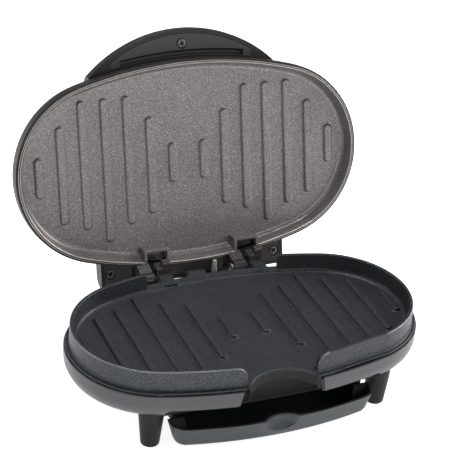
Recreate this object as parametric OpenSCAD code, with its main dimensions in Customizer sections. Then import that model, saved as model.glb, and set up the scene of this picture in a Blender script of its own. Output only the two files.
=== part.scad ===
// Electric indoor grill with lid: an oval contact grill on four feet.
// Millimetres. X to the right, Y to the back, Z up, z = 0 under the feet,
// drawn about the centre of the oval. Lid parts are drawn shut and then
// turned open about the hinge line. All outlines are offsets of one
// four-centre oval whose arc centres are (+-77, 0) and (0, -+264). Last of
// all everything is moved so that the origin is below the middle of the grill.

/* [Stance] */
// Angle the lid stands open from shut, degrees
lid_open = 105; // [0:1:105]
// How far the drip tray is drawn out, mm
tray_out = 0; // [0:1:150]

/* [Lower half] */
// Top of the lower plate's wall, mm
rim_z = 73.6; // [70:0.1:78]
// Edge where housing and plate meet, mm
seam_z = 54; // [52:0.5:56]
// Cooking floor of the lower plate, mm
floor_z = 58; // [57:0.5:60]
// Housing wall thickness, mm
skin = 2.5; // [2:0.1:4]
// Lid shell wall thickness, mm
lid_skin = 2; // [1.8:0.1:3]

/* [Lid] */
// Rim plane of the lid plate when shut, mm
lid_z = 62.4; // [60:0.1:66]
// Cooking face of the lid plate when shut, mm
lid_floor = 73.9; // [73.9:0.1:76]
// Crown of the lid when shut, mm
crown_z = 104; // [104:1:104]
// Height of the ribs, mm
rib_h = 3; // [1:0.5:4]

/* [Hinge] */
// Hinge line, distance behind the edge of the oval, mm
hinge_back = 15.5; // [15:0.1:17]
// Hinge line height, mm
hinge_z = 52.3; // [52:0.1:54]
// Rise of the floating hinge, mm
float_z = 7; // [4:1:7]

/* [Hidden] */
$fn = 96;
FB = 360;          // facets of the long arcs
E = 77; S = 264; R1 = 69;  // end arc centres, side arc centres, end radius
R2 = R1 + norm([E, S]);    // side radius, so that the arcs meet smoothly
gx = E + R1 - 146;         // how much longer and deeper the half oval is than
gy = R2 - S - 80;          // the one that the places below were measured on
hinge_y = R2 - S + hinge_back;
mid_y = 49.56;             // middle of the grill with its lid open, behind the oval's centre

// ---------- oval helpers ----------
module endwedge(h0, h1) translate([0, 0, h0]) linear_extrude(h1 - h0)
  polygon([[E, 0], [2 * E, S], [6 * E, S], [6 * E, -S], [2 * E, -S]]);
module sidewedge(h0, h1) translate([0, 0, h0]) linear_extrude(h1 - h0)
  polygon([[-E, 0], [E, 0], [1.9 * E, 0.9 * S], [-1.9 * E, 0.9 * S]]);
// sweeps a profile (x = offset outside the oval, y = height) round the oval
module ring(z0, z1) {
  for (m = [0, 1]) mirror([m, 0, 0]) intersection() {
    translate([E, 0, 0]) rotate_extrude($fn = FB) translate([R1, 0]) children();
    endwedge(z0, z1);
  }
  for (m = [0, 1]) mirror([0, m, 0]) intersection() {
    translate([0, -S, 0]) rotate_extrude($fn = FB) translate([R2, 0]) children();
    sidewedge(z0, z1);
  }
}
module oval(o) {
  intersection() {
    translate([0, -S]) circle(R2 + o, $fn = FB);
    translate([0, S]) circle(R2 + o, $fn = FB);
    polygon([[E, 0], [1.9 * E, 0.9 * S], [-1.9 * E, 0.9 * S], [-E, 0], [-1.9 * E, -0.9 * S], [1.9 * E, -0.9 * S]]);
  }
  for (m = [0, 1]) mirror([m, 0]) intersection() {
    translate([E, 0]) circle(R1 + o, $fn = FB);
    polygon([[E, 0], [2 * E, S], [6 * E, S], [6 * E, -S], [2 * E, -S]]);
  }
}
module slab(o, z0, z1) translate([0, 0, z0]) linear_extrude(z1 - z0) oval(o);
module box(a, b) translate(a) cube(b - a);
module rod(p, r, l, axis = "z") translate(p)
  rotate(axis == "x" ? [0, 90, 0] : axis == "y" ? [-90, 0, 0] : [0, 0, 0]) cylinder(r = r, h = l);
// everything above is drawn shut; this turns it open
module opened() translate([0, hinge_y, hinge_z]) rotate([-lid_open, 0, 0])
  translate([0, -hinge_y, -hinge_z]) children();

// moves what belongs to the back edge or the front edge of the oval with it
module back() translate([0, gy, 0]) children();
module front() translate([0, -gy, 0]) children();
boss_xy = [for (y = [30.6, -30.6], s = [-1, 1]) [s * (117.8 + gx), y]];
lid_boss = [for (y = [26, -26], s = [-1, 1]) [s * (88 + gx), y]];
foot_xy = [[-99 - gx, -54.4 - gy], [99 + gx, -54.4 - gy], [-62, 63.5 + gy], [62, 63.5 + gy]];
leg_y = sqrt(pow(R2 - 28, 2) - 100) - S; // where the elements' legs turn down
bay = 88 + gx;       // half width of the tray bay
gland_x = -24;       // cord outlet
clamp_x = 118.25 + gx;

// ---------- lower half ----------
module housing_area(t) {
  // solid section of the bowl, inset by t
  difference() {
    union() {
      translate([-22, 46]) square([26.7 - t, 8 - (t > 0 ? -4 : 0)]);
      intersection() { translate([-12.3, 46]) circle(17 - t, $fn = 180); translate([-12.3, 20]) square([30, 26]); }
      translate([-22, 29 + t]) square([9.7, 17.5 - t]);
    }
  }
}
module base_housing() color([0.33, 0.33, 0.35]) difference() {
  union() {
    difference() {
      ring(20, 60) difference() { housing_area(0); housing_area(skin); }
      // tray bay and spout notch
      front() {
        box([-bay, -110, 20], [bay, -60, 40]);
        for (s = [-1, 1]) rod([s * bay, -110, 34.5], 5.5, 50, "y");
        translate([0, -60, 0]) rotate([90, 0, 0]) linear_extrude(50)
          polygon([[-37, 39], [-33, 60], [33, 60], [37, 39]]);
      }
    }
    intersection() {
      front() union() {
        box([-bay - 3, -62.5, 29], [bay + 3, -60, 52]);
        for (s = [-1, 1]) {
          box([s > 0 ? 36 : -bay - 3, -90, 40], [s > 0 ? bay + 3 : -36, -60, 42.5]);
          translate([s * 36.2, -60, 0]) rotate([90, 0, 0]) linear_extrude(30)
            polygon([[-0.8 * s, 40], [1.7 * s, 40], [-0.7 * s, 52], [-3.2 * s, 52]]);
        }
      }
      slab(3, 28, 60);
    }
    // posts that carry the plate
    for (p = boss_xy) translate([p[0], p[1], 29]) cylinder(r = 4.6, h = 14.2);
    // lid stop and wire outlet at the back
    back() {
      box([-9, 82, 38], [7, 107.5, 49]);
      box([-9, 104, 43], [7, 110.1, 48.5]);
      box([7, 82, 38], [22, 107, 44]);
      translate([17, 107, 38]) cylinder(r = 2.6, h = 6);
    }
  }
  for (p = boss_xy) translate([p[0], p[1], 20]) cylinder(r = 1.7, h = 40);
  for (p = boss_xy) translate([p[0], p[1], 20]) cylinder(r = 3.4, h = 14);
  for (p = foot_xy) translate([p[0], p[1], 20]) cylinder(r = 10.3, h = 20);
  for (p = cover_xy) translate([p[0], p[1], 20]) cylinder(r = 1.65, h = 13);
  back() rod([gland_x, 60, 38], 6.1, 40, "y");
}
module base_cover() color([0.2, 0.2, 0.21]) difference() {
  union() {
    difference() { slab(-14, 27, 29); front() box([-bay - 7, -110, 26], [bay + 7, -62.5, 30]); }
    // rails of the tray
    front() for (s = [-1, 1]) {
      box([s > 0 ? bay - 6.8 : -bay + 4.8, -56, 19.6], [s > 0 ? bay - 4.8 : -bay + 6.8, -7.6, 27]);
      box([s > 0 ? bay - 11 : -bay + 4.8, -56, 19.6], [s > 0 ? bay - 4.8 : -bay + 11, -7.6, 21.6]);
    }
    front() box([-bay + 4.8, -7.6, 19.6], [bay - 4.8, -5.6, 27]);
  }
  for (p = boss_xy) translate([p[0], p[1], 20]) cylinder(r = 3.4, h = 20);
  for (p = cover_xy) translate([p[0], p[1], 20]) cylinder(r = 1.7, h = 20);
  for (i = [-4:4]) box([i * 9 - 1.5, 14, 20], [i * 9 + 1.5, 42, 40]);
  for (p = foot_xy) translate([p[0], p[1], 20]) cylinder(r = 10.6, h = 20);
}
cover_xy = [[-128 - gx, 0], [128 + gx, 0], [-40, 59.5 + gy], [40, 59.5 + gy]];
module floor_scoop(r, z0, z1) front() translate([0, -98.6, z0]) cylinder(r = r, h = z1 - z0, $fn = 180);
module lower_grill_plate() color([0.26, 0.27, 0.28]) difference() {
  union() {
    ring(50, 80) difference() {
      polygon([[-40, 54.6], [3.4, 54.6], [3.4, 56.4], [0.3, 57.4], [0, 73.6], [-3.2, 73.6], [-4.2, 61.5], [-40, 61.5]]);
      polygon([[-41, 58], [-7.7, 58], [-4.2, 61.5], [-4.2, 62], [-41, 62]]);
    }
    slab(-40, 54.6, 58);
    // cast rings on both sides of the heating element
    for (o = [-21.5, -40.5]) difference() {
      ring(40, 60) polygon([[o, 46.5], [o + 6, 46.5], [o + 6, 55], [o, 55]]);
      if (o > -30) front() box([-bay - 7, -110, 40], [bay + 7, -57, 60]);
    }
    // ribs
    intersection() {
      for (s = [-1, 1], k = [0:6]) rib(s * rib_x(k), rib_a[k], rib_b[k], floor_z + 2.6 - 3.6, 3.6);
      slab(-2, 56, 64);
    }
    // hinge ears
    back() for (x = [-42.6, 42.4]) {
      box([x, 72, 54.6], [x + 11.6, 101.5, 60.5]);
      box([x, 89.5, 46], [x + 11.6, 101.5, 65.5]);
      box([x + 4.6, 90.5, 54], [x + 11.6, 97.5, 68.5]);
      rod([x + 4.6, 94, 68.5], 3.5, 7, "x");
    }
    // curved skirt under the spout
    intersection() {
      floor_scoop(34.8, 47.5, 58);
      front() box([-30.2, -84, 40], [30.2, -60, 60]);
    }
    front() for (s = [-1, 1]) box([s * 29.6 - 0.7, -84.2, 46], [s * 29.6 + 0.7, -80, 57.4]);
    for (p = boss_xy) translate([p[0], p[1], 44]) cylinder(r = 5, h = 12);
  }
  floor_scoop(32.4, 40, 58.01);
  // gap in the wall over the spout, with rounded wall ends
  front() translate([0, -66, 0]) rotate([90, 0, 0]) linear_extrude(24) difference() {
    translate([-41, 58]) square([82, 20]);
    for (s = [-1, 1]) { translate([s * 40, 63.6]) circle(10.01); translate([s > 0 ? 30 : -50, 50]) square([20, 13.6]); }
    for (s = [-1, 1]) translate([s > 0 ? 40 : -50, 50]) square([10, 23.6]);
  }
  // lowered back wall between the hinges
  back() box([-60, 60, 61.5], [61, 84, 80]);
  // slots the hinge pins rise in
  for (x = [-42.6, 42.4]) {
    box([x - 1, hinge_y - 3.1, hinge_z], [x + 12, hinge_y + 3.1, hinge_z + float_z]);
    rod([x - 1, hinge_y, hinge_z], 3.1, 14, "x");
    rod([x - 1, hinge_y, hinge_z + float_z], 3.1, 14, "x");
  }
  for (p = boss_xy) translate([p[0], p[1], 43]) cylinder(r = 1.55, h = 12);
}
function rib_x(k) = 14.2 + (E + R1 - 27.2) / 6 * k;
rib_a = [-17.3, -42, -62, -62, -62, -42, -17.3] * (1 + gy / 80);
rib_b = [17, 42.2, 49.3, 62.6, 49.3, 42.2, 17] * (1 + gy / 80);
module rib(x, y0, y1, zc, r) {
  translate([x, y0 + r, zc]) rotate([-90, 0, 0]) cylinder(r = r, h = y1 - y0 - 2 * r);
  for (y = [y0 + r, y1 - r]) translate([x, y, zc]) sphere(r = r);
}
module loop(o, z, r) intersection() {
  ring(z - 10, z + 10) translate([o, z]) circle(r);
  difference() { slab(-2, z - 10, z + 10); box([-10, 0, z - 10], [10, 90 + gy, z + 10]); }
}
module lower_heating_element() color([0.45, 0.43, 0.41]) union() {
  loop(-28, 51.3, 3.2);
  for (s = [-1, 1]) { rod([s * 10, leg_y, 40], 2, 11.3); translate([s * 10, leg_y, 51.3]) sphere(r = 3.5); }
}
module lower_element_clamp() color([0.62, 0.62, 0.6]) for (s = [-1, 1]) {
  box([s * clamp_x - 5.75, -6, 47.1], [s * clamp_x + 5.75, 6, 48.1]);
  box([s * (clamp_x + 4.75) - 1, -6, 47.1], [s * (clamp_x + 4.75) + 1, 6, 54.6]);
}
module lower_reflector() color([0.66, 0.66, 0.67]) difference() {
  union() {
    slab(-12, 43.2, 44);
    ring(40, 60) polygon([[-12, 43.2], [-11.2, 43.2], [-11.2, 52], [-12, 52]]);
  }
  front() box([-bay - 7, -110, 40], [bay + 7, -58.5, 60]);
  for (p = boss_xy) translate([p[0], p[1], 40]) cylinder(r = 2, h = 10);
  for (s = [-1, 1]) rod([s * 10, leg_y, 40], 4, 10);
  rod([30, 10, 40], 9.5, 10);
  rod([-20, 0, 40], 4, 10);
}
module thermostat() color([0.85, 0.84, 0.8]) union() {
  rod([30, 10, 44.6], 9, 10);
  rod([30, 10, 38], 7, 7);
  for (s = [-1, 1]) box([30 + s * 4 - 0.4, 7, 32], [30 + s * 4 + 0.4, 13, 38.5]);
}
module thermal_fuse() color([0.75, 0.72, 0.62]) union() {
  rod([-30, 0, 49.6], 2, 20, "x");
  rod([-40, 0, 49.6], 0.6, 40, "x");
  box([-31, -3.4, 51.4], [-9, 3.4, 54.6]);
}
module terminal_block() color([0.9, 0.89, 0.85]) difference() {
  box([-76, 28, 29], [-48, 42, 40]);
  for (i = [0:2]) rod([-71 + i * 9, 35, 32], 2.4, 10);
  for (i = [0:2]) rod([-71 + i * 9, 20, 34.5], 1.6, 30, "y");
}
module cord_gland() color([0.1, 0.1, 0.1]) back() difference() {
  union() { rod([gland_x, 72, 38], 6, 14, "y"); rod([gland_x, 84.7, 38], 8, 5, "y"); }
  rod([gland_x, 73, 38], 3.2, 30, "y");
}
module foot(k) color([0.19, 0.2, 0.2]) translate([foot_xy[k][0], foot_xy[k][1], 0]) difference() {
  union() {
    translate([0, 0, 27.6]) cylinder(r = 10.2, h = 8.4);
    translate([0, 0, 3.6]) cylinder(r1 = 7.9, r2 = 10.2, h = 24);
    translate([0, 0, 0.8]) cylinder(r1 = 6.3, r2 = 7.9, h = 2.8);
  }
  translate([0, 0, -1]) cylinder(r = 4.6, h = 3.2);
}
module pad(k) color([0.08, 0.08, 0.08])
  translate([foot_xy[k][0], foot_xy[k][1], 0]) cylinder(r = 4.5, h = 2.2);
module foot_front_left() foot(0);
module foot_front_right() foot(1);
module foot_rear_left() foot(2);
module foot_rear_right() foot(3);
module pad_front_left() pad(0);
module pad_front_right() pad(1);
module pad_rear_left() pad(2);
module pad_rear_right() pad(3);
// cross-recess screw, head at z = 0 facing -z
module screw(r, l, head = 2) difference() {
  union() { cylinder(r = r * 1.9, h = head); cylinder(r = r, h = l); }
  for (a = [0, 90]) rotate(a) translate([-r * 1.2, -r * 0.25, -1]) cube([r * 2.4, r * 0.5, 2]);
}
module base_cover_screws() color([0.6, 0.6, 0.62]) for (p = cover_xy) translate([p[0], p[1], 25]) screw(1.6, 8);
module lower_plate_screws() color([0.6, 0.6, 0.62]) for (p = boss_xy) translate([p[0], p[1], 32]) screw(1.5, 22);
module wire_sleeve_lower() color([0.75, 0.75, 0.74]) translate([17, 107 + gy, 44]) union() {
  cylinder(r = 2.4, h = 3);
  translate([0, 0, 3]) cylinder(r1 = 2.4, r2 = 1.7, h = 8.6);
}
module hinge_pin(x) color([0.7, 0.7, 0.72]) union() {
  rod([x - 13.6, hinge_y, hinge_z], 3, 28, "x");
  rod([x - 15.2, hinge_y, hinge_z], 4.6, 1.6, "x");
}
module hinge_pin_left() hinge_pin(-42.6);
module hinge_pin_right() hinge_pin(42.4);

// ---------- drip tray ----------
// outline inset by i at z1 and drafted inwards below, back end at y1
module tray_body(i, z0, z1, y1, h = bay - 0.3, k = 0.42) {
  d = (z1 - z0) * k;
  bow = R2 + 7.6;    // the tray's front runs a little outside the plate's edge
  c = [h - 14, S - sqrt((bow - 14) * (bow - 14) - (h - 14) * (h - 14))];
  intersection() {
    union() {
      intersection() {
        translate([0, S, z0]) cylinder(r1 = bow - i - d, r2 = bow - i, h = z1 - z0, $fn = FB);
        translate([0, 0, z0]) linear_extrude(z1 - z0)
          polygon([[0, S], [c[0] * 1.2, S + (c[1] - S) * 1.2], [-c[0] * 1.2, S + (c[1] - S) * 1.2]]);
      }
      for (s = [-1, 1]) {
        translate([s * c[0], c[1], z0]) cylinder(r1 = 14 - i - d, r2 = 14 - i, h = z1 - z0);
        translate([0, 0, 0]) rotate([90, 0, 0]) translate([0, 0, 0]) linear_extrude(-c[1])
          polygon([[s * 30, z0], [s * (h - i - d), z0], [s * (h - i), z1], [s * 30, z1]]);
      }
    }
    box([-100 - gx, -120 - gy, z0], [100 + gx, y1, z1]);
  }
}
module drip_tray() color([0.17, 0.18, 0.18]) translate([0, -tray_out, 0]) difference() {
  union() {
    intersection() { tray_body(0, 5, 24, -8 - gy); ahead(-60); }
    difference() { tray_body(0, 5, 24, -8 - gy, bay - 12, 0.2); ahead(-61); }
    // side rims that ride on the rails
    front() for (s = [-1, 1]) box([s > 0 ? bay - 18 : -bay + 7.2, -61, 22], [s > 0 ? bay - 7.2 : -bay + 18, -8, 24]);
  }
  difference() {
    union() {
      intersection() { tray_body(2, 7, 25, -10 - gy); ahead(-62); }
      difference() { tray_body(2.2, 7, 25, -10 - gy, bay - 12, 0.2); ahead(-62.1); }
    }
    front() translate([0, -101, 0]) cylinder(r = 22.2, h = 30);
  }
  // finger scoop
  front() translate([0, -101, 9]) cylinder(r1 = 15, r2 = 20, h = 8);
  front() translate([0, -101, 17]) cylinder(r = 20, h = 8);
}
// everything in front of y
module ahead(y) front() box([-200, -140, 0], [200, y, 30]);

// ---------- lid, drawn shut ----------
// outer height of the dome: side arc of 22 into a crown arc of 104
module dome_area(t, z0) {
  c1 = [-12.5, 71.0141];
  translate([-54, z0]) square([63.5 - t, 71.0141 - z0]);
  intersection() { translate(c1) circle(22 - t, $fn = 180); translate(c1) polygon([[0, 0], [40, 0], [40, 69.282]]); }
  intersection() {
    translate([-53.5, 0]) circle(crown_z - t, $fn = FB);
    polygon([[-54, 71.0141], [-54, 130], [21.5558, 130], [-12.5, 71.0141]]);
  }
}
module dome(t, z0) {
  ring(z0, 120) difference() { dome_area(t, z0); translate([-60, 0]) square([6.5, 130]); }
  slab(-53.5, z0, crown_z - t);
}
// boxy back of the lid that hangs behind the hinges when it is open
module back_box(i, z0) back() intersection() {
  rotate([90, 0, 90]) translate([0, 0, -85 + i]) linear_extrude(170 - 2 * i) union() {
    polygon([[60, z0], [103 - i, z0], [103 - i, 73.5], [93, 83.5 - i], [60, 83.5 - i]]);
    translate([93, 73.5]) circle(10 - i);
  }
  box([-90, 60, z0], [90, 120, 90]);
}
module handle_outer(i, z0, z1, r) front() intersection() {
  translate([0, 7.4, 0]) rotate_extrude($fn = FB) union() {
    translate([60, z0]) square([60.9 - i - r, z1 - z0]);
    translate([60, z0]) square([60.9 - i, z1 - z0 - r]);
    translate([120.9 - i - r, z1 - r]) circle(r);
  }
  box([-84 + i, -130, z0 - 1], [84 - i, -60, z1 + 1]);
}
cover_screws = [-76.4, 76.4];
module lid_shell() color([0.2, 0.19, 0.19]) opened() difference() {
  union() {
    difference() {
      union() { dome(0, 63.4); back_box(0, 69.5); handle_outer(0, 77.4, 92, 7); }
      difference() {
        union() { dome(lid_skin, 60); back_box(lid_skin, 60); }
        // screw posts of the back
        for (x = cover_screws) back() rod([x, 90.5, 72.2], 5, 20);
      }
      difference() { handle_outer(2.5, 70, 92 - lid_skin, 5); dome(0.01, 60); front() rod([0, -101, 81.5], 5, 30); }
      // way for hinges and wires
      back() box([-58, 84, 60], [59, 110, 69.6]);
      back() box([-86, 92.6, 60], [86, 110, 69.5]);
    }
    for (p = lid_boss) intersection() {
      translate([p[0], p[1], 78.2]) cylinder(r = 5, h = 24);
      dome(1, 70);
    }
    intersection() { front() rod([0, -101, 81.5], 5, 12); handle_outer(1, 70, 91, 6); }
  }
  for (x = cover_screws) back() rod([x, 90.5, 60], 1.7, 20);
  for (p = lid_boss) translate([p[0], p[1], 70]) cylinder(r = 1.5, h = 18);
  front() rod([0, -101, 70], 1.7, 17);
  front() rod([0, -74, 80], 3.1, 40);
  box([-300, -300, 50], [300, 300, 63.4]);
}
module lid_rear_cover() color([0.13, 0.12, 0.12]) opened() difference() {
  intersection() {
    back() box([-82, 88, 69.6], [82, 103, 72]);
    back_box(3, 60);
  }
  slab(9.6, 60, 80);
  for (x = [-57, 27]) back() box([x, 60, 60], [x + 29.5, 99.4, 80]);
  for (x = cover_screws) back() rod([x, 90.5, 60], 1.8, 20);
  for (x = cover_screws) back() rod([x, 90.5, 60], 4.2, 10.2);
}
module rear_cover_screws() color([0.5, 0.5, 0.5]) opened()
  for (x = cover_screws) back() translate([x, 90.5, 69.4]) screw(1.65, 9, 0.8);
module plate_section() difference() {
  polygon([[-40, 73.9], [0.5, 73.9], [3, 71.6], [5.4, 62.4], [7.7, 62.4], [7.7, 63.2], [6.6, 63.2], [6.6, 73], [5.2, 77.2], [-40, 77.2]]);
}
module upper_grill_plate() color([0.42, 0.4, 0.39]) opened() difference() {
  union() {
    difference() {
      union() {
        ring(55, 90) plate_section();
        slab(-40, 73.9, 77.2);
      }
      // hinge pockets let into the wall
      for (x = [-45, 38.5]) back() box([x, 74.5, 60], [x + 18, 92, 73.4]);
    }
    for (x = [-45, 38.5]) intersection() {
      back() difference() {
        box([x - 2.5, 72, 62.4], [x + 20.5, 92, 75]);
        box([x, 74.5, 60], [x + 18, 93, 73.4]);
      }
      slab(6.6, 60, 80);
    }
    intersection() {
      for (s = [-1, 1], k = [0:6]) rib(s * rib_x(k), rib_a[k], rib_b[k], lid_floor - rib_h + 3.8, 3.8);
      slab(-1, 60, 75.5);
    }
    // lugs and barrels
    for (x = [-55, 30]) {
      rod([x, hinge_y, hinge_z], 6.5, 11, "x");
      translate([x, gy, 0]) rotate([90, 0, 90]) linear_extrude(11)
        polygon([[89, hinge_z], [101.8, 54], [97, 63], [91, 68.6], [84.2, 68.6], [84.2, 62.4]]);
    }
    for (p = lid_boss) translate([p[0], p[1], 76]) cylinder(r = 5, h = 2.2);
  }
  for (x = [-56, 29]) rod([x, hinge_y, hinge_z], 3.05, 14, "x");
  for (p = lid_boss) translate([p[0], p[1], 75.6]) cylinder(r = 1.5, h = 10);
}
module upper_heating_element() color([0.45, 0.43, 0.41]) opened() union() {
  loop(-28, 80.5, 3.2);
  for (s = [-1, 1]) { rod([s * 10, leg_y, 80.5], 2, 10); translate([s * 10, leg_y, 80.5]) sphere(r = 3.5); }
}
module upper_element_clamp() color([0.62, 0.62, 0.6]) opened() for (s = [-1, 1]) {
  box([s * clamp_x - 5.75, -6, 83.7], [s * clamp_x + 5.75, 6, 84.7]);
  box([s * (clamp_x + 4.75) - 1, -6, 77.2], [s * (clamp_x + 4.75) + 1, 6, 84.7]);
}
module upper_reflector() color([0.66, 0.66, 0.67]) opened() difference() {
  slab(-18, 86, 86.5);
  for (p = lid_boss) translate([p[0], p[1], 80]) cylinder(r = 5.4, h = 10);
  for (s = [-1, 1]) rod([s * 10, leg_y, 80], 4, 10);
}
module upper_plate_screws() color([0.6, 0.6, 0.62]) opened()
  for (p = lid_boss) translate([p[0], p[1], 76]) cylinder(r = 1.45, h = 10);
module handle_grip() color([0.21, 0.2, 0.2]) opened() difference() {
  intersection() {
    front() translate([0, 7.4, 77.4]) cylinder(r = 118.2, h = 4, $fn = FB);
    front() box([-80, -130, 70], [80, -60, 90]);
    difference() { box([-200, -200, 70], [200, 0, 90]); slab(9.9, 60, 100); }
  }
  front() rod([0, -101, 70], 1.8, 20);
  front() rod([0, -101, 76], 3.6, 2.6);
  // finger groove along the lid's edge
  intersection() {
    translate([0, S, 77.4]) rotate_extrude($fn = FB) translate([R2 + 14.5, 0]) circle(2.4);
    front() box([-56, -120, 70], [56, -60, 90]);
  }
}
module handle_screw() color([0.45, 0.45, 0.45]) opened() front() translate([0, -101, 77]) screw(1.7, 9, 1.6);
module indicator_lens() color([0.75, 0.12, 0.1]) opened() front() rod([0, -74, 92], 3, 8.2);
module wire_sleeve_upper() color([0.75, 0.75, 0.74]) opened() back() rod([15, 95, 72], 2.2, 6.5);

// moves the whole grill so that the origin is below its middle
module placed() translate([0, -mid_y, 0]) children();
placed() base_housing();
placed() base_cover();
placed() lower_grill_plate();
placed() lower_heating_element();
placed() lower_reflector();
placed() lower_element_clamp();
placed() thermostat();
placed() thermal_fuse();
placed() terminal_block();
placed() cord_gland();
placed() foot_front_left();
placed() foot_front_right();
placed() foot_rear_left();
placed() foot_rear_right();
placed() pad_front_left();
placed() pad_front_right();
placed() pad_rear_left();
placed() pad_rear_right();
placed() base_cover_screws();
placed() lower_plate_screws();
placed() wire_sleeve_lower();
placed() hinge_pin_left();
placed() hinge_pin_right();
placed() drip_tray();
placed() lid_shell();
placed() upper_grill_plate();
placed() upper_heating_element();
placed() upper_reflector();
placed() upper_element_clamp();
placed() lid_rear_cover();
placed() rear_cover_screws();
placed() upper_plate_screws();
placed() handle_grip();
placed() handle_screw();
placed() indicator_lens();
placed() wire_sleeve_upper();
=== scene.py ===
# Electric indoor grill with lid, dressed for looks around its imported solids.
# Every shape is drawn in millimetres about the middle of the oval: X right, Y back,
# Z up, z = 0 under the feet. Lid shapes are drawn shut and then turned open about
# the hinge line. Last, each shape is moved to the grill's own frame, whose origin
# is below the middle of the whole grill.
import math

import bmesh
import bpy
from mathutils import Matrix, Vector


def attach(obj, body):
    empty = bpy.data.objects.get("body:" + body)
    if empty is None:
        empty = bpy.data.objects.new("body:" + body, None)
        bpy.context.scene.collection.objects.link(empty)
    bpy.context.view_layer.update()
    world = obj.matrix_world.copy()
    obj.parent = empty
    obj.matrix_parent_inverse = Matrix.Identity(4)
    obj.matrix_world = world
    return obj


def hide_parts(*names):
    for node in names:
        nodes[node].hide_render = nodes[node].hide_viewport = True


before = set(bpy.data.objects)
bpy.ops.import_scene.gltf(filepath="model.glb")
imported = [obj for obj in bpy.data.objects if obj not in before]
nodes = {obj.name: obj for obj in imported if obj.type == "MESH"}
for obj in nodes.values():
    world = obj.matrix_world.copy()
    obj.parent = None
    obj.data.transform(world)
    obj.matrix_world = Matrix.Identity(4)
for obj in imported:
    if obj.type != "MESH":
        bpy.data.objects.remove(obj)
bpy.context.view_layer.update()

MM = 0.001
MID_Y = 49.56                     # the frame's origin, behind the oval's centre
# the oval: end arcs about (+-77, 0), long side arcs about (0, -+264)
END_X, END_R = 77.0, 69.0
SIDE_Y, SIDE_R = 264.0, 344.0
JOIN = math.atan2(24, 7)          # direction in which the arcs meet
HINGE_Y, HINGE_Z, LID_OPEN = 95.5, 52.3, 105.0
FLOOR_Z = 58.0                    # cooking floor of the lower plate
RIM_Z = 73.6                      # top of the lower plate's wall
LID_FLOOR = 73.9                  # cooking face of the lid plate, shut
EARS_X = (-42.6, 42.4)            # left faces of the hinge ears
BARRELS_X = (-55.0, 30.0)         # left faces of the lid's hinge barrels
POCKETS_X = (-45.0, 38.5)         # left sides of the hinge pockets in the lid plate
POCKET_WIDE = 18.0
BOSSES = ((-117.8, 30.6), (117.8, 30.6), (-117.8, -30.6), (117.8, -30.6))
FEET = ((-99, -54.4), (99, -54.4), (-62, 63.5), (62, 63.5))
GLAND_X = -24.0                   # cord outlet
RIB_X = [14.2 + 19.8 * k for k in range(7)]     # ribs right of the middle, mirrored left
RIB_FRONT = (-17.3, -42, -62, -62, -62, -42, -17.3)
RIB_BACK = (17, 42.2, 49.3, 62.6, 49.3, 42.2, 17)
SPOUT_Y, SPOUT_R = -98.6, 32.4    # centre and radius of the spout's scooped edge
# half widths at which the wall's gap is drawn, from its end to where the wall is whole,
# and how much the first few sections are drawn in, to round the end's arris
GAP_STEPS = (30.0, 30.08, 30.3, 30.8, 31.6, 32.8, 34.4, 36.4, 38.6, 40.0)
GAP_THIN = {30.0: 0.75, 30.08: 0.5, 30.3: 0.22, 30.8: 0.04}
GAP_ROUND, GAP_Z = 10, 63.6       # rounding of the wall's ends, and where it starts
LOW_WALL_Z = 61.5                 # top of the rear wall between the hinges
LOW_STEPS = (-60.3, -59.9, 60.9, 61.3)          # where the rear wall steps down and up
PLATE_STEPS = (44, 48)            # directions on each end and side of the lid's oval
LID_SIDE = (-12.5, 71.0141, 22)   # arc of the lid's side: offset, height, radius
LID_TOP = (-53.5, 104)            # arc of the lid's top, centred at z = 0: offset, radius
LID_SKIN = 2.0
HANDLE_Y = 7.4                    # centre of the handle's round outline
PANEL_R, PANEL_TIP = 116.7, 4.2   # outline of the panel in the handle, and its tips
HANDLE_SCREW_Y, LENS_Y = -101, -74
COVER_SCREWS = ((-76.4, 90.5), (76.4, 90.5))
TRAY_R = 351.6                    # bow of the tray's front, about the oval's side centre
SCOOP_Y = -101                    # finger scoop of the tray

SHUT_TO_OPEN = (Matrix.Translation((0, HINGE_Y, HINGE_Z))
                @ Matrix.Rotation(math.radians(-LID_OPEN), 4, "X")
                @ Matrix.Translation((0, -HINGE_Y, -HINGE_Z)))


# ---------------------------------------------------------------- meshes
def new_object(name, mesh):
    piece = bpy.data.objects.new(name, mesh)
    bpy.context.scene.collection.objects.link(piece)
    return piece


def from_bmesh(name, bm):
    bmesh.ops.remove_doubles(bm, verts=bm.verts, dist=1e-4)
    bmesh.ops.recalc_face_normals(bm, faces=bm.faces)
    mesh = bpy.data.meshes.new(name)
    bm.to_mesh(mesh)
    bm.free()
    return new_object(name, mesh)


def loft(rings, round_trip=True, caps=False):
    """A skin over loops of points. round_trip joins the last loop to the first;
    caps closes the first and the last loop with a face."""
    bm = bmesh.new()
    rows = [[bm.verts.new(p) for p in ring] for ring in rings]
    for low, high in zip(rows, rows[1:] + rows[:1] if round_trip else rows[1:]):
        for k in range(len(low)):
            m = (k + 1) % len(low)
            bm.faces.new((low[k], low[m], high[m], high[k]))
    if caps:
        bm.faces.new(rows[0])
        bm.faces.new(rows[-1])
    return from_bmesh("loft", bm)


def prism(outline, low, high, axis="z"):
    """An outline pushed straight from low to high along z, x or y.
    The outline is in (x, y) for z, (y, z) for x and (x, z) for y."""
    place = {"z": lambda u, v, w: (u, v, w), "x": lambda u, v, w: (w, u, v),
             "y": lambda u, v, w: (u, w, v)}[axis]
    return loft([[place(u, v, w) for u, v in outline] for w in (low, high)],
                round_trip=False, caps=True)


def block(low, high):
    """A box between two corners."""
    return prism([(low[0], low[1]), (high[0], low[1]), (high[0], high[1]), (low[0], high[1])],
                 low[2], high[2])


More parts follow.
